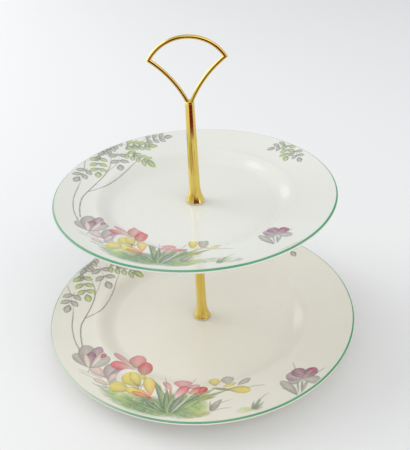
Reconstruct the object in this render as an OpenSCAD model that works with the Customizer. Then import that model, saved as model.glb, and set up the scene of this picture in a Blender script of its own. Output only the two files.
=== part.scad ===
// Two-tier cake stand: two drilled earthenware plates on a screwed metal column with a fan handle.
// Millimetres, +Z up. The origin is on the table, on the column's axis; the fan lies in the XZ plane.

/* [Lower plate] */
// Diameter over the rim
lower_d = 254; // [220:1:310]
// Height from the table to the top of the rim
lower_h = 22; // [20.5:0.5:32]
// Width of the flat rim, from the shoulder to the edge
lower_rim_w = 36; // [25:1:48]
// Width of the curved wall between the well and the rim
lower_wall_w = 18; // [12:1:24]

/* [Upper plate] */
// Diameter over the rim
upper_d = 213; // [175:1:260]
// Height from its foot to the top of the rim
upper_h = 21; // [18.5:0.5:29]
// Width of the flat rim, from the shoulder to the edge
upper_rim_w = 30; // [20:1:40]
// Width of the curved wall between the well and the rim
upper_wall_w = 15; // [10:1:20]

/* [Plate body] */
// Thickness of the well
body_t = 4.5; // [3.5:0.1:6]
// Thickness at the rim's edge
lip_t = 3; // [2:0.1:4]
// How far the curved wall climbs
wall_rise = 6.5; // [4:0.5:8]
// Height of the lower plate's foot ring
lower_foot_h = 5; // [4.7:0.1:7]
// Height of the upper plate's foot ring
upper_foot_h = 4; // [3:0.1:6]
// Width of the foot ring
foot_w = 4.5; // [3:0.5:7]
// Diameter of the drilled hole
hole_d = 6; // [5:0.1:8]

/* [Columns] */
// Length of the lower column
lower_column_l = 107; // [70:1:180]
// Length of the upper column
upper_column_l = 79; // [50:1:160]
// Diameter of the flared foot
foot_d = 14; // [13:0.5:20]
// Height of the foot's upright lip
foot_lip_h = 0.8; // [0.6:0.1:3]
// Height over which the foot flares out
flare_h = 14; // [6:0.5:20]
// Diameter just above the flare
shaft_d = 8.3; // [7:0.1:10]
// Diameter at the column's top
shaft_top_d = 6.6; // [6.2:0.1:7]

/* [Thread] */
// Thread diameter
thread_d = 4; // [3:0.5:4.5]
// Thread pitch
thread_pitch = 0.7; // [0.5:0.05:0.8]
// Thread held in each column end
thread_grip = 10; // [6:0.5:14]
// Radial gap where the upper column runs on its stud
thread_gap = 0.05; // [0.03:0.01:0.09]
// Depth left beyond the end of a thread
thread_spare = 2; // [1:0.5:4]

/* [Washers and screw] */
// Diameter of the metal washers
metal_washer_d = 16; // [12:0.5:22]
// Thickness of the metal washers
metal_washer_t = 0.8; // [0.5:0.1:1]
// Diameter of the soft washers under the plates
soft_washer_d = 15; // [11:0.5:20]
// Diameter of the soft washers under the column feet
foot_washer_d = 12.6; // [10:0.1:12.8]
// Thickness of the soft washers
soft_washer_t = 1; // [0.5:0.1:1.2]
// Radial gap between a washer and the thread
washer_gap = 0.2; // [0.1:0.05:0.4]
// Diameter of the base screw's head
screw_head_d = 9; // [7:0.5:11]
// Height of the base screw's head
screw_head_h = 2.2; // [1.5:0.1:2.4]
// Width of the driver slot
slot_w = 1.2; // [0.8:0.1:1.6]
// Depth of the driver slot
slot_depth = 1; // [0.6:0.1:1.2]

/* [Fan handle] */
// Wire diameter
wire_d = 2.8; // [2:0.1:2.9]
// Width between the wire's centrelines at the two corners
fan_w = 52; // [36:1:80]
// Height of the corners above the boss
fan_corner_h = 30.5; // [20:0.5:50]
// Height of the arch's crown above the boss, to the wire's centreline
fan_h = 45; // [34:0.5:70]
// How far each side wire bows inwards
side_bow = 2.5; // [1:0.1:4]
// Thickness of the boss that the wires are brazed to
boss_t = 1.2; // [0.8:0.1:3]
// Gap between the side wires where they stand on the boss
wire_foot_gap = 0.3; // [0.2:0.1:0.4]

/* [Hidden] */
$fn = 96;

wall_steps = 18;      // points along a plate's curved wall
rim_steps = 8;        // points along a plate's rim
round_steps = 8;      // points along a small rounding
flare_steps = 14;     // points along a column's flare
foot_round = 1.2;     // rounding of a plate's foot ring
toe_round = 0.5;      // rounding of a column's foot
edge_break = 0.15;    // chamfer on washers, boss and column top
rim_flare = 1.5;      // power of the rim's upward curve
cut = 60;             // size of the blocks that trim the wires

thread_r = thread_d / 2;
washer_bore_r = thread_r + washer_gap;

// Heights, from the table up
lower_well_z = lower_foot_h + body_t;
lower_column_z = lower_well_z + soft_washer_t;
lower_column_top_z = lower_column_z + lower_column_l;
upper_soft_washer_z = lower_column_top_z + metal_washer_t;
upper_body_z = upper_soft_washer_z + soft_washer_t;
upper_plate_z = upper_body_z - upper_foot_h;
upper_well_z = upper_body_z + body_t;
upper_column_z = upper_well_z + soft_washer_t;
boss_z = upper_column_z + upper_column_l;
fan_z = boss_z + boss_t;
base_metal_washer_z = lower_foot_h - soft_washer_t - metal_washer_t;

// An arc's points about a centre, from one angle to another
function arc(c, r, from, to, steps) =
    [for (i = [0:steps]) let (a = from + (to - from) * i / steps) c + r * [cos(a), sin(a)]];

// ---------------------------------------------------------------- plates

// Top surface of a plate at radius r: flat well, S-shaped wall, then a rim that curves up to the edge
function plate_top(r, well_r, wall_w, rim_w, well_z, rim_rise) =
    r <= well_r ? well_z
    : r <= well_r + wall_w ? well_z + wall_rise * (1 - cos(180 * (r - well_r) / wall_w)) / 2
    : well_z + wall_rise + rim_rise * pow((r - well_r - wall_w) / rim_w, rim_flare);

// Thickness at radius r: full in the well, thinning evenly to the lip
function plate_t(r, well_r, edge_r) =
    r <= well_r ? body_t : body_t + (lip_t - body_t) * (r - well_r) / (edge_r - well_r);

module plate(d, h, rim_w, wall_w, foot_h) {
    edge_r = d / 2 - lip_t / 2;
    well_r = d / 2 - rim_w - wall_w;
    well_z = foot_h + body_t;
    rim_rise = h - well_z - wall_rise;
    wall = [for (i = [1:wall_steps]) well_r + wall_w * i / wall_steps];
    rim = [for (i = [1:rim_steps]) well_r + wall_w + (edge_r - well_r - wall_w) * i / rim_steps];
    line = concat(wall, rim);
    top = [for (r = line) [r, plate_top(r, well_r, wall_w, edge_r - well_r - wall_w, well_z, rim_rise)]];
    lip = arc([edge_r, h - lip_t / 2], lip_t / 2, 90, -90, 2 * round_steps);
    under = [for (i = [len(line) - 1:-1:0]) top[i] - [0, plate_t(line[i], well_r, edge_r)]];
    foot = concat(
        arc([well_r - foot_round, foot_round], foot_round, 0, -90, round_steps),
        arc([well_r - foot_w + foot_round, foot_round], foot_round, -90, -180, round_steps));
    rotate_extrude()
        polygon(concat(
            [[hole_d / 2, foot_h], [hole_d / 2, well_z], [well_r, well_z]],
            [for (i = [0:len(top) - 2]) top[i]],
            lip,
            [for (i = [1:len(under) - 1]) under[i]],
            [[well_r, foot_h]],
            foot,
            [[well_r - foot_w, foot_h]]));
}

module lower_plate() {
    color("ivory") plate(lower_d, lower_h, lower_rim_w, lower_wall_w, lower_foot_h);
}

module upper_plate() {
    color("ivory")
        translate([0, 0, upper_plate_z])
            plate(upper_d, upper_h, upper_rim_w, upper_wall_w, upper_foot_h);
}

// ---------------------------------------------------------------- washers, screw and studs

module washer(d, t) {
    rotate_extrude()
        polygon([[washer_bore_r, 0], [d / 2 - edge_break, 0], [d / 2, edge_break],
                 [d / 2, t - edge_break], [d / 2 - edge_break, t], [washer_bore_r, t]]);
}

module base_soft_washer() {
    color("whitesmoke")
        translate([0, 0, lower_foot_h - soft_washer_t]) washer(soft_washer_d, soft_washer_t);
}

module base_metal_washer() {
    color("gold") translate([0, 0, base_metal_washer_z]) washer(metal_washer_d, metal_washer_t);
}

module lower_foot_washer() {
    color("whitesmoke") translate([0, 0, lower_well_z]) washer(foot_washer_d, soft_washer_t);
}

module support_washer() {
    color("gold") translate([0, 0, lower_column_top_z]) washer(metal_washer_d, metal_washer_t);
}

module upper_soft_washer() {
    color("whitesmoke") translate([0, 0, upper_soft_washer_z]) washer(soft_washer_d, soft_washer_t);
}

module upper_foot_washer() {
    color("whitesmoke") translate([0, 0, upper_well_z]) washer(foot_washer_d, soft_washer_t);
}

// A plain rod with chamfered ends that stands for a threaded one
module thread(from_z, to_z) {
    rotate_extrude()
        polygon([[0, from_z], [thread_r - edge_break, from_z], [thread_r, from_z + edge_break],
                 [thread_r, to_z - edge_break], [thread_r - edge_break, to_z], [0, to_z]]);
}

// Domed head with a driver slot, its shank reaching up into the lower column
module base_screw() {
    head_r = screw_head_d / 2;
    dome_r = (head_r * head_r + screw_head_h * screw_head_h) / (2 * screw_head_h);
    half_angle = asin(head_r / dome_r);
    color("gold") {
        difference() {
            translate([0, 0, base_metal_washer_z])
                rotate_extrude()
                    polygon(concat(
                        [[0, 0]],
                        arc([0, dome_r - screw_head_h], dome_r, half_angle - 90, -90, round_steps)));
            translate([-head_r, -slot_w / 2, base_metal_washer_z - screw_head_h])
                cube([screw_head_d, slot_w, slot_depth]);
        }
        thread(base_metal_washer_z - edge_break, lower_column_z + thread_grip);
    }
}

// Joins the two columns through the upper plate
module joining_stud() {
    color("goldenrod") thread(lower_column_top_z - thread_grip, upper_column_z + thread_grip);
}

// Holds the handle's boss in the top of the upper column
module handle_stud() {
    color("goldenrod") thread(boss_z - thread_grip, boss_z);
}

// ---------------------------------------------------------------- columns

// Trumpet-footed column: rounded toe, upright lip, concave flare, then a straight taper.
// Its top hole grips a thread; its foot's hole clears the thread by foot_gap.
module column(l, foot_gap) {
    foot_r = foot_d / 2;
    out = foot_r - shaft_d / 2;
    flare_r = (flare_h * flare_h + out * out) / (2 * out);
    flare_angle = asin(flare_h / flare_r);
    flare_top = foot_lip_h + flare_h;
    foot_hole_r = thread_r + foot_gap;
    hole_l = thread_grip + thread_spare;
    rotate_extrude()
        polygon(concat(
            [[0, hole_l], [foot_hole_r, hole_l], [foot_hole_r, 0]],
            arc([foot_r - toe_round, toe_round], toe_round, -90, 0, round_steps),
            arc([shaft_d / 2 + flare_r, flare_top], flare_r, 180 + flare_angle, 180, flare_steps),
            [[shaft_top_d / 2, l - edge_break], [shaft_top_d / 2 - edge_break, l],
             [thread_r, l], [thread_r, l - hole_l], [0, l - hole_l]]));
}

module lower_column() {
    color("gold") translate([0, 0, lower_column_z]) column(lower_column_l, 0);
}

module upper_column() {
    color("gold") translate([0, 0, upper_column_z]) column(upper_column_l, thread_gap);
}

// ---------------------------------------------------------------- fan handle, in its own plane, x across and y up

wire_r = wire_d / 2;
corner = [fan_w / 2, fan_corner_h];

// Slope of a side wire at its foot: its chord's slope, plus what the bow adds
side_run = corner - [wire_r, 0];
side_foot_slope = atan2(side_run[1], side_run[0]) + 2 * atan(2 * side_bow / norm(side_run));
wire_foot_x = wire_foot_gap / 2 + wire_r / sin(side_foot_slope);

// The side wire's chord and the circle that it is an arc of
side_foot = [wire_foot_x, 0];
side_chord = norm(corner - side_foot);
side_r = (side_chord * side_chord / 4 + side_bow * side_bow) / (2 * side_bow);
side_dir = (corner - side_foot) / side_chord;
side_out = [side_dir[1], -side_dir[0]];
side_centre = (corner + side_foot) / 2 + side_out * (side_r - side_bow);
corner_from_side = corner - side_centre;
foot_from_side = side_foot - side_centre;
side_corner_angle = atan2(corner_from_side[1], corner_from_side[0]);
side_foot_angle = atan2(foot_from_side[1], foot_from_side[0]);

// The arch's circle, through both corners and the crown
arch_rise = fan_h - fan_corner_h;
arch_r = (fan_w * fan_w / 4 + arch_rise * arch_rise) / (2 * arch_rise);
arch_centre = [0, fan_h - arch_r];
arch_half_angle = asin(fan_w / 2 / arch_r);

// The mitre that both wires are cut to at a corner
arch_in = [-cos(arch_half_angle), sin(arch_half_angle)];
side_in = [-sin(side_corner_angle), cos(side_corner_angle)];
mitre_dir = arch_in + side_in;
mitre_angle = atan2(mitre_dir[1], mitre_dir[0]);
run_over = 8;         // degrees that a wire runs past its mitre before it is cut

// Turns the fan's plane upright, onto the boss
module on_boss() {
    translate([0, 0, fan_z]) rotate([90, 0, 0]) children();
}

// A wire bent to an arc in the fan's plane
module bent_wire(centre, r, from, to) {
    translate(centre)
        rotate([0, 0, from])
            rotate_extrude(angle = to - from)
                translate([r, 0]) circle(wire_r);
}

// Everything on one side of the mitre at the right-hand corner: +1 above it, -1 below
module mitre_block(side) {
    translate(corner)
        rotate([0, 0, mitre_angle])
            translate([-cut / 2, side > 0 ? -cut : 0, -cut / 2])
                cube([cut, cut, cut]);
}

module side_wire() {
    difference() {
        bent_wire(side_centre, side_r, side_corner_angle - run_over, side_foot_angle + run_over);
        mitre_block(1);
        translate([-cut / 2, -cut, -cut / 2]) cube([cut, cut, cut]);
    }
}

module handle_side_right() {
    color("gold") on_boss() side_wire();
}

module handle_side_left() {
    color("gold") on_boss() mirror([1, 0, 0]) side_wire();
}

module handle_arch() {
    color("gold")
        on_boss()
            difference() {
                bent_wire(arch_centre, arch_r, 90 - arch_half_angle - run_over,
                          90 + arch_half_angle + run_over);
                mitre_block(-1);
                mirror([1, 0, 0]) mitre_block(-1);
            }
}

module handle_boss() {
    color("gold")
        translate([0, 0, boss_z])
            rotate_extrude()
                polygon([[0, 0], [shaft_top_d / 2 - edge_break, 0], [shaft_top_d / 2, edge_break],
                         [shaft_top_d / 2, boss_t - edge_break],
                         [shaft_top_d / 2 - edge_break, boss_t], [0, boss_t]]);
}

lower_plate();
upper_plate();
base_screw();
base_metal_washer();
base_soft_washer();
lower_foot_washer();
lower_column();
joining_stud();
support_washer();
upper_soft_washer();
upper_foot_washer();
upper_column();
handle_boss();
handle_stud();
handle_side_left();
handle_side_right();
handle_arch();
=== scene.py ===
import bpy
import numpy as np
from math import pi, radians
from mathutils import Matrix, Vector


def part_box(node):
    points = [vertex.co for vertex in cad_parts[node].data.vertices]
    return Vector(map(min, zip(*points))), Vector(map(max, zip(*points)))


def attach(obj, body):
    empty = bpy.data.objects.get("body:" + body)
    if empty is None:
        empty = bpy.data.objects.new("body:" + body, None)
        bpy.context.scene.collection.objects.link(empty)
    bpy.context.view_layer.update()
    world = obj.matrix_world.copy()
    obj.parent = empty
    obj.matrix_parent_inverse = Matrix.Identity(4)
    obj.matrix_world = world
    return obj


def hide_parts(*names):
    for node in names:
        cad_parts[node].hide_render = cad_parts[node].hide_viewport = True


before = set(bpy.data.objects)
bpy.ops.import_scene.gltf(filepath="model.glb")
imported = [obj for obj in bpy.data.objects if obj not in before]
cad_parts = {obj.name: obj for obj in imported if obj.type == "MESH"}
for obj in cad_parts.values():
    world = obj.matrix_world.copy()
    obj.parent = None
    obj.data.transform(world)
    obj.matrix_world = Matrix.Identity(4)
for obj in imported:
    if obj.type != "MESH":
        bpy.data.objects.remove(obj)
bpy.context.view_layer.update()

MM = 0.001

# ------------------------------------------------------------------ view and light
# A camera a little above a standing person's elbow, looking down on the stand from in front. The stand
# is on a pale table, lit softly by a big window on the left, a farther one behind it, and the room.
EYE = (0, -0.4277, 0.3739)
LOOK_RIGHT = 0.85               # degrees past straight ahead
LOOK_DOWN = 32.47               # degrees below level
ROLL = 2.97                     # degrees the camera is tipped sideways, so that the column leans left
FOCAL_LENGTH = 51.7             # millimetres, on a sensor 36 wide
DAYLIGHT, LAMPLIGHT = (0.97, 0.98, 1.0), (1.0, 0.985, 0.96)
SKY, SKY_STRENGTH = (0.95, 0.97, 1.0, 1), 0.70

camera = bpy.data.objects.new("camera", bpy.data.cameras.new("camera"))
camera.data.sensor_width = 36
camera.data.lens = FOCAL_LENGTH
camera.matrix_world = (Matrix.Translation(EYE)
                       @ Matrix.Rotation(radians(-LOOK_RIGHT), 4, "Z")
                       @ Matrix.Rotation(radians(90 - LOOK_DOWN), 4, "X")
                       @ Matrix.Rotation(radians(-ROLL), 4, "Z"))
bpy.context.collection.objects.link(camera)
bpy.context.scene.camera = camera
bpy.context.scene.view_settings.view_transform = "Standard"


def area_light(name, place, aim, size, power, tint):
    """A rectangular light of that size in metres and power in watts at place, turned to face aim."""
    lamp = bpy.data.lights.new(name, "AREA")
    lamp.shape = "RECTANGLE"
    lamp.size, lamp.size_y = size
    lamp.energy = power
    lamp.color = tint
    holder = bpy.data.objects.new(name, lamp)
    away = Vector(place) - Vector(aim)
    holder.matrix_world = Matrix.Translation(place) @ away.to_track_quat("Z", "Y").to_matrix().to_4x4()
    bpy.context.collection.objects.link(holder)


area_light("window", (-1.35, 0.35, 1.15), (0, 0, 0.1), (1.1, 1.5), 11.5, DAYLIGHT)
area_light("far_window", (-1.2, 1.15, 0.60), (0, 0, 0.08), (1.7, 0.7), 5.0, DAYLIGHT)
area_light("room", (0.9, -1.4, 1.2), (0, 0, 0.05), (2.4, 2.0), 18, LAMPLIGHT)


def new_material(name):
    """An empty node material: its node tree, its shader and a function that adds and wires a node."""
    material = bpy.data.materials.new(name)
    material.use_nodes = True
    tree = material.node_tree
    shader = tree.nodes["Principled BSDF"]

    def add(kind, inputs=(), **settings):
        node = tree.nodes.new(kind)
        for key, value in settings.items():
            setattr(node, key, value)
        for socket, value in dict(inputs).items():
            if isinstance(value, bpy.types.NodeSocket):
                tree.links.new(value, node.inputs[socket])
            else:
                node.inputs[socket].default_value = value
        return node

    return material, tree, shader, add


def srgb(*levels):
    """An 8-bit display colour as the linear colour that sockets take."""
    level = np.array(levels) / 255
    linear = np.where(level <= 0.04045, level / 12.92, ((level + 0.055) / 1.055) ** 2.4)
    return (*linear, 1.0)


def mesh_piece(name, corners, faces, smooth=True):
    """A mesh object from an array of corners and an array of faces."""
    mesh = bpy.data.meshes.new(name)
    mesh.from_pydata(corners.tolist(), [], faces.tolist())
    mesh.shade_smooth() if smooth else mesh.shade_flat()
    piece = bpy.data.objects.new(name, mesh)
    bpy.context.collection.objects.link(piece)
    return piece


def matt_paint(name, colour):
    """Flat paint without any gloss, a little darker in slow clouds."""
    material, tree, shader, add = new_material(name)
    cloud = add("ShaderNodeTexNoise", {"Scale": 3.0, "Detail": 3.0})
    ramp = add("ShaderNodeMix", {"Factor": cloud.outputs["Fac"], "A": colour,
                                 "B": tuple(0.95 * c for c in colour[:3]) + (1,)}, data_type="RGBA")
    tree.links.new(ramp.outputs["Result"], shader.inputs["Base Color"])
    shader.inputs["Roughness"].default_value = 0.8
    shader.inputs["Specular IOR Level"].default_value = 0.0
    return material


# The table, painted a pale grey-white, which runs on behind the stand.
TABLE = 4                       # metres from its middle to each side
table = mesh_piece("table", TABLE * np.array([(-1, -1, 0), (1, -1, 0), (1, 1, 0), (-1, 1, 0)]),
                   np.array([(0, 1, 2, 3)]), smooth=False)
table.data.materials.append(matt_paint("table_paint", srgb(235, 235, 234)))

# The dim room in front, seen only as the dark red streaks in the polished metal: it covers the table
# from just in front of the stand, then stands up behind the viewer.
ROOM_NEAR, ROOM_FAR = -0.24, -0.80
ROOM_RIGHT, ROOM_LEFT_NEAR, ROOM_LEFT_FAR = 0.90, -0.16, -0.30
ROOM_FLOOR, ROOM_TOP = 0.003, 0.80
room = mesh_piece("room", np.array([(ROOM_LEFT_NEAR, ROOM_NEAR, ROOM_FLOOR),
                                    (ROOM_RIGHT, ROOM_NEAR, ROOM_FLOOR),
                                    (ROOM_RIGHT, ROOM_FAR, ROOM_FLOOR),
                                    (ROOM_LEFT_FAR, ROOM_FAR, ROOM_FLOOR),
                                    (ROOM_RIGHT, ROOM_FAR, ROOM_TOP),
                                    (ROOM_LEFT_FAR, ROOM_FAR, ROOM_TOP)]),
                  np.array([(0, 3, 2, 1), (3, 5, 4, 2)]), smooth=False)
room.data.materials.append(matt_paint("room_paint", srgb(120, 38, 50)))
room.visible_camera = room.visible_diffuse = room.visible_shadow = False

bpy.context.scene.world = bpy.context.scene.world or bpy.data.worlds.new("world")
world = bpy.context.scene.world
world.use_nodes = True
sky = world.node_tree.nodes["Background"]
sky.inputs["Color"].default_value = SKY
sky.inputs["Strength"].default_value = SKY_STRENGTH

# ------------------------------------------------------------------ plates
# Two rimmed earthenware plates from one dinner service, jigger-moulded, dipped in a warm clear glaze and
# stood on their foot rings to fire, so that the foot's flat stays bare. Each has a hole drilled through
# its centre, and a green line banded round its edge by hand.
BODY = 4.5 * MM                 # thickness of the well
LIP = 3.0 * MM                  # thickness at the edge
WALL_RISE = 6.5 * MM            # how far the wall climbs from the well to the rim
FOOT_WIDTH = 4.5 * MM
FOOT_ROUND = 1.2 * MM
HOLE = 3.0 * MM                 # radius of the drilled hole
RIM_FLARE = 1.5                 # power of the rim's upward curve
TURNS = 360                     # steps round a plate
WELL_STEPS, SLOPE_STEPS, UNDER_STEPS = 14, 56, 10
LIP_STEPS, FOOT_STEPS = 13, 7   # points on each rounding

GLAZE_GLOSS, CLAY_GLOSS = 0.16, 0.85            # roughness
TEA, GRIT, CLAY = srgb(150, 128, 92), srgb(140, 118, 84), srgb(196, 178, 146)


class Plate:
    """One plate's measures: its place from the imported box, and the widths of its rim and wall."""

    def __init__(self, node, rim_width, wall_width, foot_height):
        low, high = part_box(node)
        self.node = node
        self.radius = high[0]
        self.foot_z = low[2]
        self.rim_z = high[2]
        self.under_z = low[2] + foot_height
        self.well_z = self.under_z + BODY
        self.edge = self.radius - LIP / 2
        self.shoulder = self.radius - rim_width
        self.well = self.shoulder - wall_width

    def top(self, r):
        """Height of the upper face at radius r: the flat well, half a cosine wave up the wall, then a
        rim that rises with the 1.5th power of the distance past the shoulder."""
        wall = np.clip((r - self.well) / (self.shoulder - self.well), 0, 1)
        rim = np.clip((r - self.shoulder) / (self.edge - self.shoulder), 0, 1)
        rim_rise = self.rim_z - self.well_z - WALL_RISE
        return self.well_z + WALL_RISE * (1 - np.cos(pi * wall)) / 2 + rim_rise * rim ** RIM_FLARE

    def thickness(self, r):
        """Full in the well, then thinning in proportion to the distance out to the lip."""
        return BODY + (LIP - BODY) * np.clip((r - self.well) / (self.edge - self.well), 0, 1)


def arc_points(centre, radius, start, end, steps):
    """Points of a circle about centre, from the start angle to the end angle, in degrees."""
    angle = np.radians(np.linspace(start, end, steps))
    return np.stack([centre[0] + radius * np.cos(angle), centre[1] + radius * np.sin(angle)], -1)


def plate_outline(plate):
    """The closed outline of half a plate's section: over the top, round the lip, back underneath, round
    the foot ring and up the drilled hole."""
    well_top = np.linspace(HOLE, plate.well, WELL_STEPS)
    slope = np.linspace(plate.well, plate.edge, SLOPE_STEPS)[1:-1]
    top = np.concatenate([well_top, slope])
    over = np.stack([top, plate.top(top)], -1)
    lip = arc_points((plate.edge, plate.rim_z - LIP / 2), LIP / 2, 90, -90, LIP_STEPS)
    back = slope[::-2]
    under = np.stack([back, plate.top(back) - plate.thickness(back)], -1)
    foot_in = plate.well - FOOT_WIDTH
    round_z = plate.foot_z + FOOT_ROUND
    heel = arc_points((plate.well - FOOT_ROUND, round_z), FOOT_ROUND, 0, -90, FOOT_STEPS)
    toe = arc_points((foot_in + FOOT_ROUND, round_z), FOOT_ROUND, -90, -180, FOOT_STEPS)
    bottom = np.stack([np.linspace(foot_in, HOLE, UNDER_STEPS), np.full(UNDER_STEPS, plate.under_z)], -1)
    bore = np.array([(HOLE, plate.under_z + BODY / 2)])
    return np.concatenate([over, lip, under, [(plate.well, plate.under_z)], heel, toe, bottom, bore])


def revolve(name, outline):
    """The outline of radius and height carried round the Z axis: x is radius times cosine of the turn,
    y radius times sine, z the height. Outline and turn both close on themselves."""
    turn = np.linspace(0, 2 * pi, TURNS, endpoint=False)[:, None]
    r, z = outline[:, 0], outline[:, 1]
    corners = np.stack([r * np.cos(turn), r * np.sin(turn), np.broadcast_to(z, (TURNS, len(z)))], -1)
    index = np.arange(TURNS * len(z)).reshape(TURNS, len(z))
    right = np.roll(index, -1, 0)
    faces = np.stack([index, np.roll(index, -1, 1), np.roll(right, -1, 1), right], -1)
    return mesh_piece(name, corners.reshape(-1, 3), faces.reshape(-1, 4))


def glaze_nodes(add, tree, shader, tint):
    """Old clear glaze over a cream body: slow drifts of tone, warm pin-prick specks, and fine crazing
    that has taken up a little tea. Returns the place and the glaze's colour."""
    place = add("ShaderNodeTexCoord").outputs["Object"]
    drift = add("ShaderNodeTexNoise", {"Vector": place, "Scale": 9.0, "Detail": 3.0})
    tone = add("ShaderNodeMix", {"Factor": drift.outputs["Fac"], "A": tint,
                                 "B": (tint[0] * 0.90, tint[1] * 0.885, tint[2] * 0.83, 1)},
               data_type="RGBA")
    craze = add("ShaderNodeTexVoronoi", {"Vector": place, "Scale": 210.0}, feature="DISTANCE_TO_EDGE")
    crack = add("ShaderNodeMapRange", {"Value": craze.outputs["Distance"], "From Min": 0.0,
                                       "From Max": 0.02, "To Min": 0.10, "To Max": 0.0})
    where = add("ShaderNodeTexNoise", {"Vector": place, "Scale": 22.0, "Detail": 2.0})
    stained = add("ShaderNodeMath", {0: crack.outputs["Result"], 1: where.outputs["Fac"]},
                  operation="MULTIPLY")
    crazed = add("ShaderNodeMix", {"Factor": stained.outputs[0], "A": tone.outputs["Result"],
                                   "B": TEA}, data_type="RGBA")
    grit = add("ShaderNodeTexNoise", {"Vector": place, "Scale": 900.0, "Detail": 1.0})
    speck = add("ShaderNodeMapRange", {"Value": grit.outputs["Fac"], "From Min": 0.72,
                                       "From Max": 0.80, "To Min": 0.0, "To Max": 0.22})
    specked = add("ShaderNodeMix", {"Factor": speck.outputs["Result"], "A": crazed.outputs["Result"],
                                    "B": GRIT}, data_type="RGBA")
    ripple = add("ShaderNodeTexNoise", {"Vector": place, "Scale": 34.0, "Detail": 2.0})
    bump = add("ShaderNodeBump", {"Height": ripple.outputs["Fac"], "Strength": 0.06, "Distance": 0.002})
    tree.links.new(bump.outputs["Normal"], shader.inputs["Normal"])
    shader.inputs["Roughness"].default_value = GLAZE_GLOSS
    shader.inputs["IOR"].default_value = 1.5
    return place, specked.outputs["Result"]


EDGE_GREEN = srgb(54, 146, 98)
EDGE_LINE = 1.35 * MM           # width of the green line, from the outermost edge
BRUSH_WANDER = 0.5 * MM         # how much its inner edge wanders
GLARE_AWAY_FROM = (0.87, 0.5, 0)  # the line is painted paler, as painted glare, on the side opposite to this direction


def plate_material(plate, tint, glare_fade):
    """Glaze, the banded green line at the edge, paler in patches where it is worn and faded towards the
    front left by the given amount as painted glare, and the foot ring's bare clay."""
    material, tree, shader, add = new_material(plate.node + "_glaze")
    place, colour = glaze_nodes(add, tree, shader, tint)
    axes = add("ShaderNodeSeparateXYZ", {"Vector": place})
    flat = add("ShaderNodeCombineXYZ", {"X": axes.outputs["X"], "Y": axes.outputs["Y"]})
    reach = add("ShaderNodeVectorMath", {0: flat.outputs[0]}, operation="LENGTH")
    brush = add("ShaderNodeTexNoise", {"Vector": flat.outputs[0], "Scale": 38.0, "Detail": 2.0})
    wander = add("ShaderNodeMath", {0: brush.outputs["Fac"], 1: BRUSH_WANDER,
                                    2: reach.outputs["Value"]}, operation="MULTIPLY_ADD")
    start = plate.radius - EDGE_LINE + BRUSH_WANDER / 2
    line = add("ShaderNodeMapRange", {"Value": wander.outputs[0], "From Min": start - 0.12 * MM,
                                      "From Max": start + 0.12 * MM})
    above = add("ShaderNodeMapRange", {"Value": axes.outputs["Z"],
                                       "From Min": plate.rim_z - 0.34 * LIP,
                                       "From Max": plate.rim_z - 0.28 * LIP})
    wear = add("ShaderNodeTexNoise", {"Vector": flat.outputs[0], "Scale": 11.0, "Detail": 4.0})
    kept = add("ShaderNodeMapRange", {"Value": wear.outputs["Fac"], "From Min": 0.30, "From Max": 0.62,
                                      "To Min": 0.80, "To Max": 1.0})
    band = add("ShaderNodeMath", {0: line.outputs["Result"], 1: above.outputs["Result"]},
               operation="MULTIPLY")
    # Painted glare: the green line fades towards the front left, where the window's light falls on it; the
    # patchy wear above is real.
    toward = add("ShaderNodeVectorMath", {0: flat.outputs[0], 1: GLARE_AWAY_FROM},
                 operation="DOT_PRODUCT")
    side = add("ShaderNodeMapRange", {"Value": toward.outputs["Value"], "From Min": -0.98 * plate.radius,
                                      "From Max": -0.75 * plate.radius, "To Min": 1 - glare_fade, "To Max": 1.0})
    wear_and_glare = add("ShaderNodeMath", {0: kept.outputs["Result"], 1: side.outputs["Result"]},
                operation="MULTIPLY")
    paint = add("ShaderNodeMath", {0: band.outputs[0], 1: wear_and_glare.outputs[0]}, operation="MULTIPLY")
    edged = add("ShaderNodeMix", {"Factor": paint.outputs[0], "A": colour, "B": EDGE_GREEN},
                data_type="RGBA")
    bare = add("ShaderNodeMapRange", {"Value": axes.outputs["Z"], "From Min": plate.foot_z + 0.2 * MM,
                                      "From Max": plate.foot_z + 0.5 * MM, "To Min": 1.0, "To Max": 0.0})
    clay = add("ShaderNodeMix", {"Factor": bare.outputs["Result"], "A": edged.outputs["Result"],
                                 "B": CLAY}, data_type="RGBA")
    tree.links.new(clay.outputs["Result"], shader.inputs["Base Color"])
    gloss = add("ShaderNodeMapRange", {"Value": bare.outputs["Result"], "To Min": GLAZE_GLOSS,
                                       "To Max": CLAY_GLOSS})
    tree.links.new(gloss.outputs["Result"], shader.inputs["Roughness"])
    return material


lower = Plate("lower_plate", rim_width=36 * MM, wall_width=18 * MM, foot_height=5 * MM)
upper = Plate("upper_plate", rim_width=30 * MM, wall_width=15 * MM, foot_height=4 * MM)
# Glaze colours: the lower plate's cream is warmer and yellower than the upper's as painted shade, from the
# upper plate over it.
CREAM_AND_SHADE = {"lower_plate": srgb(232, 229, 219), "upper_plate": srgb(229, 230, 224)}
GLARE_FADE = {"lower_plate": 0.5, "upper_plate": 0.0}         # share of the green line faded out towards the front left, as painted glare
RIDES = {"lower_plate": "lower_tier", "upper_plate": "upper_tier"}

for plate in (lower, upper):
    ware = revolve(plate.node + "_ware", plate_outline(plate))
    ware.data.materials.append(plate_material(plate, CREAM_AND_SHADE[plate.node], GLARE_FADE[plate.node]))
    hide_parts(plate.node)
    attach(ware, RIDES[plate.node])

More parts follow.
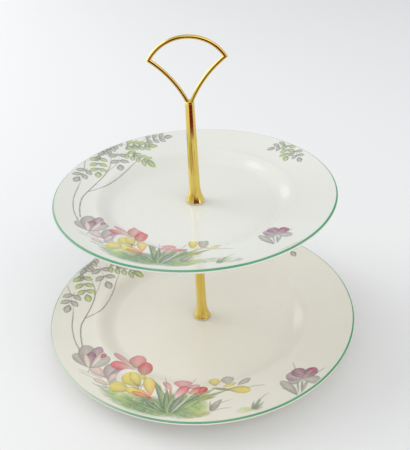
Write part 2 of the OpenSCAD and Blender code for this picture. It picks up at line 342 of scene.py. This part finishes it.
# ------------------------------------------------------------------ printed flowers
# A spring border of crocuses, grass and drooping leaves: grey-brown line transfers, coloured by hand in
# enamels and fired on. It keeps to the front, the left and the back right of each rim. It is laid out on
# a flat disc whose radius is 1, with +X to the right and -Y towards the viewer, and headings in degrees.
STEP = 0.55 * MM                # spacing of the painted points on a plate
LIFT = 0.04 * MM                # thickness of the fired enamel
SOFT = 0.0055                   # distance over which an edge of colour fades
OUTER = 0.984                   # where the print stops, inside the green line
BORDER = (92, 318, 0.52)        # from bearing, to bearing, inner reach
CORNER = (20, 66, 0.74)
PENCIL, FINE_PENCIL, STAMEN = 0.006, 0.0055, 0.009      # widths of drawn lines
VEINS, VEIN_TONE = 34, 0.10     # radians of wave across half a petal, and how dark they are
EDGE_START, EDGE_FADE = 0.004, 0.006            # the darker edge, from a petal's outline inwards
SHADED_SIDE, PALE_MIDDLE = 0.12, 0.28
THINNEST = 0.003                # half width below which veins no longer crowd together

# Inks are tints that filter the glaze's colour. White is above 1, so that it takes the cream away.
MAUVE, DUSK, PINK = srgb(196, 158, 184), srgb(198, 190, 192), srgb(246, 160, 172)
BLUSH, MAGENTA, CRIMSON = srgb(252, 226, 220), srgb(206, 76, 128), srgb(232, 62, 78)
YELLOW, ORANGE, OLIVE = srgb(255, 238, 104), srgb(255, 160, 92), srgb(188, 170, 86)
GREY, SLATE, BARK = srgb(200, 198, 194), srgb(146, 146, 142), srgb(134, 120, 114)
LEAF, LIME, MOSS = srgb(146, 184, 120), srgb(206, 228, 132), srgb(108, 146, 106)
WHITE, ROSE, PLUM = (1.14, 1.16, 1.22, 1), srgb(240, 102, 124), srgb(168, 112, 142)

# A shape's name, with the power that moves its widest place towards the tip, and the power that rounds it
SHAPES = {"petal": (1.5, 0.5), "leaf": (1.0, 0.75), "blade": (0.7, 0.9)}


def dapple(x, y, scale):
    """Soft blotches about 1/scale wide, from 0 to 1: four sine waves across turned directions, each
    pushed along by the one before."""
    wave, total = 0.0, 0.0
    for turn in (0.3, 1.4, 2.2, 3.9):
        wave = np.sin(scale * (x * np.cos(turn) + y * np.sin(turn)) + 2.1 * wave + 5 * turn)
        total = total + wave
    return 0.5 + total / 6


class Print:
    """The enamel on part of one plate: a fine sheet of points in polar steps, and a tint for each point,
    which the strokes build up one over another."""

    def __init__(self, plate, start, end, inner):
        rows = int((OUTER - inner) * plate.radius / STEP)
        cols = int(radians(end - start) * plate.radius / STEP)
        self.plate = plate
        self.reach = np.linspace(inner, OUTER, rows)[:, None]
        self.bearing = np.radians(np.linspace(start, end, cols))[None]
        self.tint = np.ones((rows * cols, 3))

    def settle(self, turn=0, shift=0, pivot=0, stretch=1):
        """Sets how the next strokes lie: stretched about a bearing, turned, and moved out by shift."""
        centre = radians(pivot)
        bearing = centre + (self.bearing - radians(turn) - centre) / stretch
        self.x = ((self.reach - shift) * np.cos(bearing)).ravel()
        self.y = ((self.reach - shift) * np.sin(bearing)).ravel()

    def stroke(self, near, cover, ink):
        """Moves the tint of the near points towards the ink, as far as cover says."""
        self.tint[near] += np.clip(cover, 0, 1)[:, None] * (ink - self.tint[near])

    def frond(self, shape, foot, heading, length, width, inks, bend=0, cover=0.95, edge=0.3):
        """A petal or leaf. Its midline is an arc that leaves foot and turns by bend degrees over its
        length; at the fraction u along it the half width is sine(pi * u^shift)^roundness. The colour
        runs from the first ink to the second, paler down the middle, veined, with a darker edge."""
        shift, roundness = SHAPES[shape]
        start = radians(heading - bend / 2)
        curve = radians(bend) / length or 1e-6
        dx, dy = self.x - foot[0], self.y - foot[1]
        near = np.flatnonzero(dx * dx + dy * dy < (1.1 * length) ** 2)
        dx, dy = dx[near], dy[near]
        along = dx * np.cos(start) + dy * np.sin(start)
        across = dy * np.cos(start) - dx * np.sin(start)
        u = np.arctan2(curve * along, 1 - curve * across) / (curve * length)
        off = (1 - np.hypot(curve * along, 1 - curve * across)) / curve
        inside = (u > 0) & (u < 1)
        half = width / 2 * np.sin(pi * np.clip(u, 0, 1) ** shift) ** roundness
        depth = half - abs(off)
        blend = 1 - (1 - np.clip(u, 0, 1)) ** 2.2
        ink = (1 - blend)[:, None] * inks[0][:3] + blend[:, None] * inks[1][:3]
        middle = np.exp(-(off / (0.2 * width)) ** 2) * np.sin(pi * np.clip(u, 0, 1))
        across_half = np.maximum(half, THINNEST)
        veins = 0.5 + 0.5 * np.sin(VEINS * off / across_half + 3 * dapple(dx, dy, 60))
        dark = np.clip(1 - (depth - EDGE_START) / EDGE_FADE, 0, 1) * (0.55 + 0.7 * dapple(dx, dy, 70))
        slant = np.clip(SHADED_SIDE * off / across_half, 0, SHADED_SIDE)
        body = ink * (1 - VEIN_TONE * veins - edge * dark - slant)[:, None]
        pale = PALE_MIDDLE * middle * (0.6 + 0.6 * dapple(dx, dy, 45))
        body = body + pale[:, None] * (1 - body)
        self.stroke(near, cover * np.clip(depth / SOFT + 0.4, 0, 1) * inside, body)

    def line(self, points, width, ink, cover=0.9):
        """A drawn line that thins at its end, on a smooth curve through the points (each stretch is a
        Catmull-Rom cubic)."""
        knots = np.array([points[0], *points, points[-1]], float)
        t = np.linspace(0, 1, 25)[:, None]
        path = np.concatenate([0.5 * (2 * b + (c - a) * t + (2 * a - 5 * b + 4 * c - d) * t ** 2
                                      + (3 * b - a - 3 * c + d) * t ** 3)
                               for a, b, c, d in zip(knots, knots[1:], knots[2:], knots[3:])])
        low, high = path.min(0) - width, path.max(0) + width
        near = np.flatnonzero((self.x > low[0]) & (self.x < high[0]) & (self.y > low[1])
                              & (self.y < high[1]))
        if near.size:
            apart = np.hypot(self.x[near, None] - path[:, 0], self.y[near, None] - path[:, 1])
            taper = np.minimum(1, 3 * (1 - np.linspace(0, 0.9, len(path))))[apart.argmin(1)]
            fall = (0.5 * width * taper - apart.min(1)) / (0.6 * SOFT) + 0.5
            self.stroke(near, cover * np.clip(fall, 0, 1), np.array(ink[:3]))

    def wash(self, centre, size, turn, ink, cover, grain):
        """A soft-edged dab of colour: an ellipse that fades over its outer half, broken by dapples."""
        c, s = np.cos(radians(turn)), np.sin(radians(turn))
        dx, dy = self.x - centre[0], self.y - centre[1]
        far = np.hypot((c * dx + s * dy) / size[0], (c * dy - s * dx) / size[1])
        near = np.flatnonzero(far < 1.2)
        mottle = 0.35 + 0.95 * dapple(self.x[near] + 0.3 * self.y[near], 1.6 * self.y[near], grain)
        self.stroke(near, cover * np.clip((1.15 - far[near]) / 0.45, 0, 1) * mottle, np.array(ink[:3]))

    def spray(self, root, heading, length, pairs, size, spread, inks):
        """A drooping leaf: pairs of leaflets at even steps from a tenth of the way along its rib, each
        pair folded 4 degrees closer than the one before, and a bigger leaflet at the end."""
        direction = np.array([np.cos(radians(heading)), np.sin(radians(heading))])
        self.line([root, tuple(np.array(root) + 0.85 * length * direction)], PENCIL, SLATE, 0.6)
        for step in range(pairs):
            joint = np.array(root) + direction * length * (0.10 + 0.74 * step / pairs)
            for side in (1, -1):
                self.frond("leaf", joint + PENCIL * direction, heading + side * (spread - 4 * step),
                           size, size * 0.58, inks, bend=side * -20, cover=0.9, edge=0.6)
        self.frond("leaf", np.array(root) + direction * length * 0.78, heading, size * 1.1,
                   size * 0.68, inks, edge=0.6)

    def lay(self, name):
        """Drops the flat sheet on the plate's face: each point keeps its reach and bearing, and takes
        the face's height there plus the enamel's thickness."""
        r = self.reach * self.plate.radius
        height = np.broadcast_to(self.plate.top(r) + LIFT, (len(r), self.bearing.size))
        corners = np.stack([r * np.cos(self.bearing), r * np.sin(self.bearing), height], -1)
        index = np.arange(height.size).reshape(height.shape)
        faces = np.stack([index[:-1, :-1], index[1:, :-1], index[1:, 1:], index[:-1, 1:]], -1)
        piece = mesh_piece(name, corners.reshape(-1, 3), faces.reshape(-1, 4))
        tint = np.concatenate([self.tint, np.ones((len(self.tint), 1))], -1)
        layer = piece.data.attributes.new("tint", "FLOAT_COLOR", "POINT")
        layer.data.foreach_set("color", tint.ravel())
        piece.data.materials.append(PRINT_MATERIALS[self.plate.node])
        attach(piece, RIDES[self.plate.node])


def print_material(plate, glaze):
    """Fired enamel under the same glaze: the painted tint filters the glaze's colour, and takes a little
    grain from the bisque below."""
    material, tree, shader, add = new_material(plate.node + "_print")
    place, colour = glaze_nodes(add, tree, shader, glaze)
    tint = add("ShaderNodeAttribute", attribute_name="tint").outputs["Color"]
    grain = add("ShaderNodeTexNoise", {"Vector": place, "Scale": 700.0, "Detail": 2.0})
    strength = add("ShaderNodeMapRange", {"Value": grain.outputs["Fac"], "From Min": 0.3,
                                          "From Max": 0.7, "To Min": 0.86, "To Max": 1.0})
    softened = add("ShaderNodeMix", {"Factor": strength.outputs["Result"], "A": (1, 1, 1, 1),
                                     "B": tint}, data_type="RGBA")
    printed = add("ShaderNodeMix", {"Factor": 1.0, "A": colour, "B": softened.outputs["Result"]},
                  data_type="RGBA", blend_type="MULTIPLY")
    tree.links.new(printed.outputs["Result"], shader.inputs["Base Color"])
    return material


PRINT_MATERIALS = {plate.node: print_material(plate, CREAM_AND_SHADE[plate.node]) for plate in (lower, upper)}

# Two thin stems rise from the left-hand crocuses and part near their tops: points and width.
STEMS = (
    ([(-0.775, -0.345), (-0.82, -0.25), (-0.855, -0.12), (-0.865, 0.0), (-0.875, 0.10)], 0.0075),
    ([(-0.765, -0.31), (-0.79, -0.20), (-0.80, -0.10), (-0.785, -0.02), (-0.758, 0.09), (-0.742, 0.20),
      (-0.755, 0.31), (-0.80, 0.42)], 0.0085),
    ([(-0.785, -0.02), (-0.70, 0.05), (-0.66, 0.13), (-0.62, 0.27), (-0.60, 0.40), (-0.585, 0.48)],
     0.007),
    ([(-0.744, 0.22), (-0.725, 0.30), (-0.71, 0.42)], 0.005),
    ([(-0.90, 0.20), (-0.925, 0.26), (-0.945, 0.32)], 0.005))

# Drooping leaves in dull grey and fresh green: root, heading, length, pairs, leaflet, spread and inks.
GREYS, GREENS = (SLATE, GREY), (MOSS, LIME)
LEFT_SPRAYS = (
    ((-0.885, 0.235), -98, 0.17, 2, 0.078, 52, GREYS), ((-0.915, 0.5), -118, 0.1, 1, 0.07, 60, GREYS),
    ((-0.765, 0.68), -112, 0.13, 2, 0.07, 62, GREYS), ((-0.8, 0.6), -110, 0.13, 2, 0.074, 62, GREYS),
    ((-0.845, 0.52), -95, 0.11, 1, 0.074, 66, GREYS), ((-0.735, 0.53), -68, 0.21, 2, 0.084, 66, GREYS),
    ((-0.66, 0.66), -60, 0.12, 1, 0.07, 60, GREYS), ((-0.86, 0.43), -73, 0.27, 3, 0.078, 62, GREENS),
    ((-0.69, 0.555), -18, 0.27, 4, 0.074, 60, GREENS), ((-0.72, 0.645), 13, 0.25, 4, 0.074, 60, GREENS),
    ((-0.58, 0.755), 25, 0.21, 3, 0.07, 58, GREYS))
RIGHT_SPRAYS = (
    ((0.75, 0.62), 186, 0.12, 2, 0.062, 58, GREYS), ((0.765, 0.615), -106, 0.19, 3, 0.068, 60, GREENS),
    ((0.795, 0.52), -84, 0.14, 2, 0.062, 56, GREYS))

# Mauve crocuses at the left end, one whole and one lying behind it, over pencil-thin blades. Petals are
# given by foot, heading, length, width, inks from foot to tip, and bend, cover and edge where they aren't
# the usual ones.
MAUVE_LINES = (
    ((-0.62, -0.59), (-0.77, -0.51)), ((-0.645, -0.605), (-0.76, -0.535)), ((-0.55, -0.69), (-0.67, -0.6)),
    ((-0.58, -0.675), (-0.65, -0.65)), ((-0.705, -0.54), (-0.695, -0.5)),
    ((-0.6, -0.685), (-0.675, -0.63)))
MAUVE_PETALS = (
    ((-0.585, -0.6), 76, 0.15, 0.11, (MAUVE, DUSK)), ((-0.585, -0.6), 40, 0.135, 0.085, (DUSK, MAUVE)),
    ((-0.595, -0.585), 134, 0.15, 0.066, (MAUVE, BLUSH)),
    ((-0.575, -0.645), 30, 0.115, 0.09, (DUSK, GREY)), ((-0.58, -0.63), 66, 0.09, 0.046, (DUSK, BLUSH)),
    ((-0.57, -0.655), 148, 0.11, 0.036, (DUSK, BLUSH)), ((-0.7, -0.5), 132, 0.17, 0.074, (DUSK, GREY), 14),
    ((-0.7, -0.5), 104, 0.22, 0.11, (MAUVE, DUSK), 6), ((-0.7, -0.5), 78, 0.205, 0.084, (DUSK, MAUVE), -4),
    ((-0.7, -0.5), 92, 0.15, 0.07, (DUSK, PLUM)), ((-0.695, -0.5), 48, 0.15, 0.08, (DUSK, GREY), 16),
    ((-0.705, -0.5), 107, 0.13, 0.04, (WHITE, BLUSH), 4),
    ((-0.69, -0.49), 66, 0.155, 0.04, (WHITE, BLUSH), -8),
    ((-0.645, -0.405), 52, 0.048, 0.034, (PLUM, MAGENTA)))

# The grass bank: mottled green ground (centre, half sizes, turn, ink, cover, grain), and blades that fan
# up from a tuft on the front left.
WASHES = (
    ((-0.5, -0.77), (0.15, 0.05), -40, LEAF, 0.8, 70), ((-0.46, -0.765), (0.12, 0.04), -38, LIME, 0.7, 95),
    ((-0.36, -0.825), (0.15, 0.08), -27, LEAF, 0.85, 80),
    ((-0.3, -0.82), (0.11, 0.06), -30, MOSS, 0.7, 110),
    ((-0.34, -0.865), (0.14, 0.04), -24, MOSS, 0.55, 120),
    ((-0.25, -0.885), (0.1, 0.05), -12, LEAF, 0.75, 90), ((-0.19, -0.79), (0.08, 0.07), 0, MOSS, 0.6, 90),
    ((-0.14, -0.835), (0.13, 0.1), 10, LEAF, 0.9, 80), ((-0.12, -0.86), (0.11, 0.075), 6, MOSS, 0.6, 130),
    ((-0.09, -0.925), (0.11, 0.032), 6, LEAF, 0.75, 90),
    ((-0.06, -0.93), (0.07, 0.024), 6, OLIVE, 0.55, 60),
    ((-0.05, -0.875), (0.07, 0.055), 0, LIME, 0.55, 110),
    ((0.205, -0.915), (0.05, 0.026), 8, LIME, 0.65, 90),
    ((0.275, -0.905), (0.04, 0.026), 30, SLATE, 0.45, 90))
BLADES = (
    ((-0.235, -0.905), 148, 0.26, 0.026, (LIME, MOSS), -16),
    ((-0.24, -0.9), 134, 0.2, 0.032, (LEAF, MOSS), -10),
    ((-0.235, -0.9), 122, 0.17, 0.03, (MOSS, LEAF), -6),
    ((-0.235, -0.905), 106, 0.33, 0.046, (LEAF, MOSS), 24),
    ((-0.232, -0.9), 101, 0.29, 0.014, (LIME, LIME), 16), ((-0.232, -0.9), 90, 0.22, 0.04, (LEAF, MOSS)),
    ((-0.228, -0.9), 78, 0.17, 0.034, (LIME, LEAF), 4),
    ((-0.215, -0.9), 62, 0.19, 0.05, (MOSS, SLATE), -10),
    ((-0.19, -0.895), 47, 0.22, 0.056, (MOSS, LEAF), -10),
    ((-0.205, -0.9), 52, 0.24, 0.016, (WHITE, WHITE), -6, 0.6, 0.1),
    ((-0.17, -0.885), 40, 0.24, 0.046, (LEAF, MOSS), -14),
    ((-0.14, -0.87), 36, 0.2, 0.034, (LIME, LEAF), -14),
    ((-0.07, -0.8), 36, 0.165, 0.022, (LEAF, LIME), -16),
    ((-0.06, -0.805), 22, 0.19, 0.024, (LIME, LEAF), -12),
    ((-0.04, -0.805), 16, 0.1, 0.018, (LIME, OLIVE), -6))
STAMENS = (
    ((-0.385, -0.675), (-0.372, -0.64)), ((-0.4, -0.68), (-0.405, -0.64)),
    ((-0.395, -0.69), (-0.43, -0.668)))
BLADE_LINES = (
    ((-0.243, -0.7), (-0.236, -0.63), (-0.246, -0.555)),
    ((-0.1, -0.69), (-0.085, -0.63), (-0.058, -0.575)))

# Pink and yellow crocuses stand in the grass; the yellow one has a white edge where the colour missed its
# outline.
BRIGHT_PETALS = (
    ((-0.45, -0.45), 137, 0.155, 0.05, (BLUSH, PINK), -8),
    ((-0.43, -0.5), 163, 0.155, 0.078, (BLUSH, ROSE)), ((-0.428, -0.485), 84, 0.14, 0.108, (OLIVE, PINK)),
    ((-0.378, -0.57), 84, 0.16, 0.092, (OLIVE, ROSE), -6),
    ((-0.362, -0.615), 108, 0.065, 0.036, (OLIVE, YELLOW)),
    ((-0.385, -0.665), 131, 0.19, 0.15, (WHITE, WHITE), 0, 0.8, 0),
    ((-0.39, -0.665), 128, 0.15, 0.11, (OLIVE, YELLOW)),
    ((-0.39, -0.665), 112, 0.14, 0.07, (OLIVE, YELLOW)),
    ((-0.45, -0.7), 154, 0.125, 0.096, (OLIVE, YELLOW)),
    ((-0.325, -0.745), 97, 0.165, 0.072, (ORANGE, YELLOW), 4),
    ((-0.305, -0.8), 124, 0.08, 0.018, (ORANGE, CRIMSON), 8),
    ((-0.325, -0.765), 149, 0.17, 0.07, (ROSE, YELLOW), 12),
    ((-0.33, -0.765), 151, 0.12, 0.034, (CRIMSON, ORANGE), 10))
FRONT_PETALS = (
    ((-0.205, -0.79), 94, 0.1, 0.014, (OLIVE, ORANGE)), ((-0.2, -0.705), 122, 0.095, 0.04, (BLUSH, PINK)),
    ((-0.135, -0.7), 92, 0.11, 0.11, (PINK, PINK)), ((-0.11, -0.7), 26, 0.08, 0.054, (MAUVE, PINK)),
    ((-0.185, -0.775), 52, 0.125, 0.066, (WHITE, ROSE), -8),
    ((-0.11, -0.735), 14, 0.12, 0.064, (ORANGE, ROSE), 12),
    ((-0.05, -0.735), 38, 0.062, 0.04, (ROSE, CRIMSON)))
GOLD_PETALS = (
    ((0.125, -0.685), 88, 0.11, 0.08, (DUSK, GREY)), ((0.18, -0.695), 32, 0.095, 0.042, (DUSK, GREY)),
    ((0.052, -0.69), 92, 0.105, 0.072, (OLIVE, YELLOW)),
    ((0.09, -0.705), 20, 0.09, 0.032, (YELLOW, YELLOW)),
    ((0.025, -0.705), -14, 0.12, 0.022, (BARK, OLIVE)),
    ((0.12, -0.725), -8, 0.135, 0.064, (OLIVE, YELLOW)))

# Small grey-green sprigs in front, and a last mauve crocus on its own at the right.
SPRIGS = (
    ((0.012, -0.905), 88, 0.1, 0.012, (DUSK, GREY)), ((0.015, -0.9), 54, 0.12, 0.044, (SLATE, GREY), -16),
    ((0.255, -0.925), 66, 0.115, 0.022, (SLATE, LEAF), -10),
    ((0.245, -0.92), 78, 0.08, 0.016, (SLATE, LEAF), -6),
    ((0.265, -0.925), 52, 0.09, 0.016, (LEAF, GREY), -10))
SPRIG_LINES = (
    ((0.02, -0.88), (0.075, -0.835), (0.145, -0.81)), ((0.02, -0.905), (0.08, -0.885), (0.135, -0.885)),
    ((0.29, -0.86), (0.315, -0.815), (0.355, -0.785)), ((0.24, -0.722), (0.29, -0.712), (0.345, -0.715)))
LONE_PETALS = (
    ((0.53, -0.84), 78, 0.13, 0.012, (BARK, SLATE), -4),
    ((0.515, -0.84), 84, 0.12, 0.01, (GREY, SLATE), -4), ((0.53, -0.83), 62, 0.12, 0.02, (GREY, GREY), -4),
    ((0.505, -0.845), 116, 0.165, 0.06, (SLATE, GREY), 18),
    ((0.555, -0.7), -22, 0.11, 0.074, (DUSK, GREY)), ((0.555, -0.7), 37, 0.125, 0.074, (DUSK, PLUM)),
    ((0.58, -0.675), 37, 0.08, 0.044, (MAUVE, MAGENTA)), ((0.56, -0.695), 190, 0.085, 0.08, (DUSK, GREY)),
    ((0.56, -0.7), 150, 0.1, 0.086, (GREY, MAUVE)), ((0.56, -0.695), 104, 0.095, 0.09, (MAUVE, PLUM)),
    ((0.545, -0.668), 100, 0.018, 0.016, (PLUM, PLUM)))
LONE_LINES = (
    ((0.54, -0.64), (0.532, -0.59), (0.53, -0.545)), ((0.64, -0.68), (0.675, -0.655), (0.705, -0.635)),
    ((0.485, -0.79), (0.455, -0.775), (0.43, -0.765)))

# Each transfer is cut apart and laid by hand, so on the smaller plate the parts sit a little differently:
# (turn, shift, pivot, stretch) of each part. Part of its bank is carried on as thin grass to the right.
SETTINGS = {
    "lower_plate": {"corner": (13,)},
    "upper_plate": {"stems": (-4, 0, 204, 1.25), "leaves": (-13,), "mauve": (-4, -0.03),
                    "bright": (-3, -0.03), "front": (-6, -0.03), "gold": (-8, -0.085),
                    "sprigs": (-8.5, -0.04), "bank": (-2, -0.03), "lone": (2, -0.12)}}
MORE_WASHES = {
    "lower_plate": (),
    "upper_plate": (((0.08, -0.88), (0.17, 0.036), 5, LEAF, 0.5, 70),
                    ((0.62, -0.8), (0.12, 0.025), 32, OLIVE, 0.25, 70))}


def drawn(lines, width, ink, cover):
    """Lines all drawn with the same pencil."""
    return [(points, width, ink, cover) for points in lines]


def fronds(shape, pieces):
    """Petals or blades all of one shape."""
    return [(shape, *piece) for piece in pieces]


def coats(plate):
    """The coats in the order they go on: the part whose setting each one follows, its kind of stroke, and
    what to paint."""
    return (("stems", Print.line, [(points, width, BARK) for points, width in STEMS]),
            ("leaves", Print.spray, LEFT_SPRAYS),
            ("mauve", Print.line, drawn(MAUVE_LINES, PENCIL, SLATE, 0.7)),
            ("mauve", Print.frond, fronds("petal", MAUVE_PETALS)),
            ("bank", Print.wash, WASHES + MORE_WASHES[plate.node]),
            ("front", Print.frond, fronds("petal", FRONT_PETALS)),
            ("bank", Print.frond, fronds("blade", BLADES)),
            ("bank", Print.line, drawn(BLADE_LINES, FINE_PENCIL, SLATE, 0.75)),
            ("bright", Print.frond, fronds("petal", BRIGHT_PETALS)),
            ("bright", Print.line, drawn(STAMENS, STAMEN, BARK, 0.6)),
            ("gold", Print.frond, fronds("petal", GOLD_PETALS)),
            ("sprigs", Print.frond, fronds("blade", SPRIGS)),
            ("sprigs", Print.line, drawn(SPRIG_LINES, FINE_PENCIL, SLATE, 0.7)),
            ("lone", Print.line, drawn(LONE_LINES, PENCIL, SLATE, 0.7)),
            ("lone", Print.frond, fronds("petal", LONE_PETALS)))


for plate in (lower, upper):
    border, corner = Print(plate, *BORDER), Print(plate, *CORNER)
    for part, paint, strokes in coats(plate):
        border.settle(*SETTINGS[plate.node].get(part, ()))
        for stroke in strokes:
            paint(border, *stroke)
    border.lay(plate.node + "_border_print")
    corner.settle(*SETTINGS[plate.node].get("corner", ()))
    for spray in RIGHT_SPRAYS:
        corner.spray(*spray)
    corner.lay(plate.node + "_corner_print")

# ------------------------------------------------------------------ gold fittings
# Turned brass columns, washers and screw with a bent and brazed wire handle, all polished and then
# gold-plated. The plating is bright, with faint turning marks and a slightly duller bloom in patches.
def gold_material():
    """Plating whose tone and gloss drift in patches, over the fine rings that a lathe leaves."""
    material, tree, shader, add = new_material("gold_plate")
    place = add("ShaderNodeTexCoord").outputs["Object"]
    bloom = add("ShaderNodeTexNoise", {"Vector": place, "Scale": 45.0, "Detail": 4.0})
    shade = add("ShaderNodeMix", {"Factor": bloom.outputs["Fac"], "A": srgb(238, 214, 122),
                                  "B": srgb(222, 192, 92)}, data_type="RGBA")
    tree.links.new(shade.outputs["Result"], shader.inputs["Base Color"])
    rough = add("ShaderNodeMapRange", {"Value": bloom.outputs["Fac"], "From Min": 0.35,
                                       "From Max": 0.75, "To Min": 0.07, "To Max": 0.17})
    tree.links.new(rough.outputs["Result"], shader.inputs["Roughness"])
    squeeze = add("ShaderNodeMapping", {"Vector": place, "Scale": (1.0, 1.0, 60.0)})
    rings = add("ShaderNodeTexNoise", {"Vector": squeeze.outputs["Vector"], "Scale": 90.0, "Detail": 2.0})
    bump = add("ShaderNodeBump", {"Height": rings.outputs["Fac"], "Strength": 0.025, "Distance": 0.0005})
    tree.links.new(bump.outputs["Normal"], shader.inputs["Normal"])
    shader.inputs["Metallic"].default_value = 1.0
    return material


def finish(nodes, material):
    """Gives CAD pieces a better material, slot by slot."""
    for node in nodes:
        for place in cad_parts[node].material_slots:
            place.material = material


finish(["base_screw", "base_metal_washer", "lower_column", "support_washer", "upper_column",
        "handle_boss", "handle_side_left", "handle_side_right", "handle_arch"], gold_material())

# ------------------------------------------------------------------ studs
# Two lengths of M4 rod in plain cut steel. One joins the columns through the upper plate's hole, and the
# other holds the handle's boss in the upper column. Both grip the columns' tapped holes.
def steel_material():
    """Bare steel, with a thread's ridges as even waves of height along the rod, and its grooves painted
    darker as painted shade.
    """
    material, tree, shader, add = new_material("cut_steel")
    place = add("ShaderNodeTexCoord").outputs["Object"]
    thread = add("ShaderNodeTexWave", {"Vector": place, "Scale": 225.0, "Distortion": 0.0},
                 bands_direction="Z")
    # Painted shade: the thread's grooves dark, its ridges light, following the same waves as the bump.
    shade = add("ShaderNodeMix", {"Factor": thread.outputs["Fac"], "A": srgb(120, 118, 112),
                                  "B": srgb(196, 194, 186)}, data_type="RGBA")
    tree.links.new(shade.outputs["Result"], shader.inputs["Base Color"])
    bump = add("ShaderNodeBump", {"Height": thread.outputs["Fac"], "Strength": 0.6, "Distance": 0.0004})
    tree.links.new(bump.outputs["Normal"], shader.inputs["Normal"])
    shader.inputs["Metallic"].default_value = 1.0
    shader.inputs["Roughness"].default_value = 0.35
    return material


finish(["joining_stud", "handle_stud"], steel_material())

# ------------------------------------------------------------------ soft washers
# Four thin washers of milky plastic, pressed between metal and glaze: one under each plate and one under
# each column's foot.
def washer_material():
    """Milky plastic, a little cloudy and not quite smooth."""
    material, tree, shader, add = new_material("soft_plastic")
    place = add("ShaderNodeTexCoord").outputs["Object"]
    cloud = add("ShaderNodeTexNoise", {"Vector": place, "Scale": 260.0, "Detail": 3.0})
    shade = add("ShaderNodeMix", {"Factor": cloud.outputs["Fac"], "A": srgb(232, 230, 220),
                                  "B": srgb(206, 202, 188)}, data_type="RGBA")
    tree.links.new(shade.outputs["Result"], shader.inputs["Base Color"])
    bump = add("ShaderNodeBump", {"Height": cloud.outputs["Fac"], "Strength": 0.1, "Distance": 0.0003})
    tree.links.new(bump.outputs["Normal"], shader.inputs["Normal"])
    shader.inputs["Roughness"].default_value = 0.45
    return material


finish(["base_soft_washer", "lower_foot_washer", "upper_soft_washer", "upper_foot_washer"],
       washer_material())
